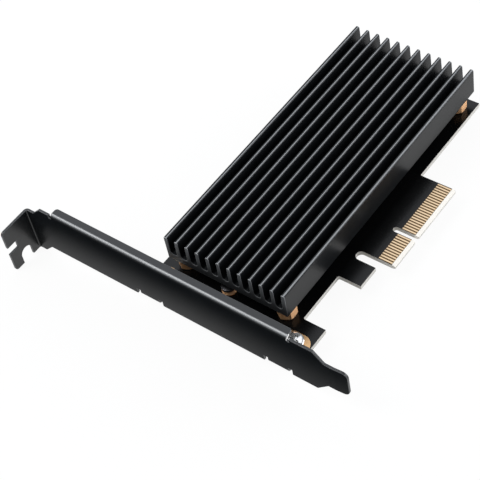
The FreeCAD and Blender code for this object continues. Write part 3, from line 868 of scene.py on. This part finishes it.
# %% [markdown]
# ## Turned brass: hexagon standoffs and the drive's collar
#
# The standoffs are hexagon bar with both ends turned to a chamfer, so each flat ends in a shallow
# arc.  That arc needs no modelling of its own: the surface is simply the smaller of two radii,
# the hexagon's and the chamfer cone's.


# %% Hexagon bar with turned ends
def hexagon_standoff(height, chamfer, end_radius, columns=72):
    """Grid whose radius at angle a and height z is the smaller of hexagon and cone.

    The hexagon's radius is half the width across flats over the cosine of the angle from the
    nearest flat; the cone's grows from the radius at an end to the corner's.
    """
    flat = across_flats / 2
    corner = flat / math.cos(math.pi / 6)
    angle = np.linspace(0, 2 * math.pi, columns, endpoint=False)
    hexagon = flat / np.cos(angle % (math.pi / 3) - math.pi / 6)
    low = np.linspace(0, chamfer, 5)
    level = np.concatenate([low, height - low[::-1]])[:, None]
    cone = end_radius + (corner - end_radius) * np.minimum(level, height - level) / chamfer
    wall = round_axis(np.minimum(hexagon, cone), angle, level)
    middle = np.zeros((1, columns, 3))
    return np.concatenate([middle, wall, middle + np.array([0, 0, height])])


bar = hexagon_standoff(sink_low[2] - board_top, chamfer=0.6, end_radius=across_flats / 2 * 0.93)
bars = shell("hexagon_standoffs", standing(bar, standoff_axes, board_top), sharp_degrees=25)
add_piece("hexagon_standoffs", bars, [brass], "brass", "heatsink_standoffs")


# %% Collar under the drive's end
def turned(profile, columns=48):
    """Grid of a closed outline of (radius, level) points turned round the Z axis."""
    angle = np.linspace(0, 2 * math.pi, columns, endpoint=False)
    return round_axis(profile[:, :1], angle, profile[:, 1:])


collar_low, collar_high = span("drive_collar")
collar_foot = collar_low[2]
collar_top = collar_high[2]
bore = 1.02
spigot_radius = 1.5
groove_radius = collar_radius - 0.25
shoulder = [(1.95, collar_top), (2.15, collar_top - 0.07), (collar_radius, collar_top - 0.25)]
groove = [(collar_radius, collar_top - 0.55), (groove_radius, collar_top - 0.75),
          (groove_radius, board_top + 0.75), (collar_radius, board_top + 0.55)]
seat = [(collar_radius, board_top + 0.15), (2.1, board_top), (spigot_radius, board_top)]
spigot = [(spigot_radius, collar_foot), (bore, collar_foot)]
rim_of_bore = [(bore, collar_top)]
collar_profile = np.array(rim_of_bore + shoulder + groove + seat + spigot + rim_of_bore)
collar = shell("turned_collar", standing(turned(collar_profile), collar_axes, 0))
add_piece("turned_collar", collar, [brass], "brass", "drive_collar")


# %% [markdown]
# ## What sits under the heatsink
#
# The socket, its springs, the chips and the thermal pad are nearly hidden, yet they show from
# low down at the side.  Their solids are right already, so each gets the finish of its real
# material: glass-filled black plastic, fired ceramic, resistor glass and soft silicone.


# %% Moulded, fired and cast finishes
def non_metal(name, dark, light, roughness, grain_scale, grain_depth):
    """Material of a part that isn't metal: broader clouds and a hazier grain."""
    return drifting(
        name, dark, light, roughness, grain_scale, grain_depth, cloud_scale=0.4, haze=0.12)


plastic = non_metal("glass_filled_plastic", shade(0.012), shade(0.020), 0.5, 6, 0.006)
ceramic = non_metal("fired_ceramic", (0.36, 0.25, 0.15, 1), (0.46, 0.33, 0.21, 1), 0.42, 8, 0.004)
resistor = non_metal("resistor_glass", shade(0.010), shade(0.016), 0.25, 5, 0.003)
rubber = non_metal("soft_silicone", (0.30, 0.33, 0.36, 1), (0.38, 0.41, 0.44, 1), 0.75, 3, 0.03)
dress(plastic, "drive_socket_housing")
dress(tin, "drive_socket_lock_plates", "capacitor_ends", "resistor_ends")
softened("capacitor_set", "capacitor_bodies", [ceramic], "ceramic", 0.04)
softened("resistor_set", "resistor_bodies", [resistor], "resistor_black", 0.03)
softened("gap_filler_pad", "thermal_pad", [rubber], "pad_rubber", 0.12)


# %% [markdown]
# ## Studio
#
# The card lies on a white sweep under big soft lights.  The floor glows white to the camera and
# in reflections, but only a part of it is glow: the rest is lit paint, so that the card keeps its
# soft shadow.  The lamps are placed by what each surface mirrors: one above and beyond the card
# for the flat tops, and a brighter one that draws the line along the bracket's fold.


# %% Floor
glow_share = 0.94


def floor_finish():
    """White paint, mostly replaced by a plain white glow for the camera and for reflections."""
    white = (0.9, 0.9, 0.9, 1)
    finish = Finish("white_sweep", Base_Color=white, Roughness=0.9, Specular_IOR_Level=0.0)
    seen = 0.0
    for ray in ("Is Camera Ray", "Is Glossy Ray", "Is Transmission Ray"):
        seen = finish.node("ShaderNodeLightPath", output=ray).most(seen)
    paint = Wire(finish, finish.shader.outputs["BSDF"])
    glow = finish.node("ShaderNodeEmission")
    mixed = finish.node("ShaderNodeMixShader", values={0: seen * glow_share, 1: paint, 2: glow})
    finish.feed(finish.tree.nodes["Material Output"].inputs["Surface"], mixed)
    return finish.material


def lay_floor(name, half_width, level, material):
    """Square sheet at one level, part of the studio and not of the card."""
    corners = np.array([(-1, -1, 0), (1, -1, 0), (1, 1, 0), (-1, 1, 0)]) * half_width
    mesh = bpy.data.meshes.new(name)
    mesh.from_pydata(((corners + np.array([0, 0, level])) * MM).tolist(), [], [(0, 1, 2, 3)])
    mesh.materials.append(material)
    floor = bpy.data.objects.new(name, mesh)
    bpy.context.scene.collection.objects.link(floor)


floor_level = cad_low.z / MM - 0.01
lay_floor("studio_floor", 6000, floor_level, floor_finish())
print("floor at", round(floor_level, 2), "mm")


# %% Lamps
card_middle = Vector((-5.0, 42.0, 6.0)) * MM


def softbox(name, direction, distance, width, height, radiance, colour=(1, 1, 1)):
    """Area lamp of a given brightness, facing the card from a direction."""
    lamp = bpy.data.lights.new(name, "AREA")
    lamp.color = colour
    lamp.shape = "RECTANGLE"
    lamp.size = width * MM
    lamp.size_y = height * MM
    lamp.energy = 4 * radiance * lamp.size * lamp.size_y
    towards = Vector(direction).normalized()
    made = bpy.data.objects.new(name, lamp)
    made.matrix_world = Matrix.Translation(card_middle + towards * distance * MM) @ (
        towards.to_track_quat("Z", "Y").to_matrix().to_4x4())
    bpy.context.scene.collection.objects.link(made)
    print(name, round(lamp.energy, 3), "W")


softbox("overhead_softbox", (0.445, 0.469, 0.763), distance=900, width=700, height=700,
        radiance=1.1, colour=(0.93, 0.96, 1.02))
softbox("fold_softbox", (-0.40, 0.46, 0.79), distance=700, width=340, height=440, radiance=5.5)
softbox("front_softbox", (0.72, -0.64, 0.26), distance=900, width=700, height=700,
        radiance=5.1, colour=(0.975, 0.99, 1.03))


# %% Air
world = bpy.data.worlds.new("studio_air")
world.use_nodes = True
background = world.node_tree.nodes["Background"]
background.inputs["Color"].default_value = (0.92, 0.96, 1.0, 1)
background.inputs["Strength"].default_value = 0.32
bpy.context.scene.world = world
print("air lights the card at", round(background.inputs["Strength"].default_value, 2))


# %% [markdown]
# ## Camera
#
# The camera looks down at about fifty degrees, from the bracket's corner, and is tipped a little
# to one side.  It is placed by those three angles, the point it aims at and its distance, which
# is easier to reason about than nine numbers of a matrix.


# %% Camera
heading = math.radians(46.495)
dip = math.radians(49.710)
roll = math.radians(12.853)
aim = Vector((-29.752, 43.841, 6.0)) * MM
distance = 430.206 * MM

forward = Vector((
    math.cos(dip) * math.cos(heading), math.cos(dip) * math.sin(heading), -math.sin(dip)))
level_right = forward.cross(Vector((0, 0, 1))).normalized()
level_up = level_right.cross(forward)
up = level_up * math.cos(roll) + level_right * math.sin(roll)
right = forward.cross(up)

camera_data = bpy.data.cameras.new("camera")
camera_data.sensor_width = 36.0
camera_data.lens = 106.866
camera_data.clip_start = 0.02
camera_data.clip_end = 50.0
camera = bpy.data.objects.new("camera", camera_data)
camera.matrix_world = Matrix.Translation(aim - forward * distance) @ (
    Matrix((right, up, -forward)).transposed().to_4x4())
bpy.context.scene.collection.objects.link(camera)
bpy.context.scene.camera = camera
bpy.context.scene.view_settings.view_transform = "Standard"
print("camera at", [round(value / MM, 1) for value in camera.location])
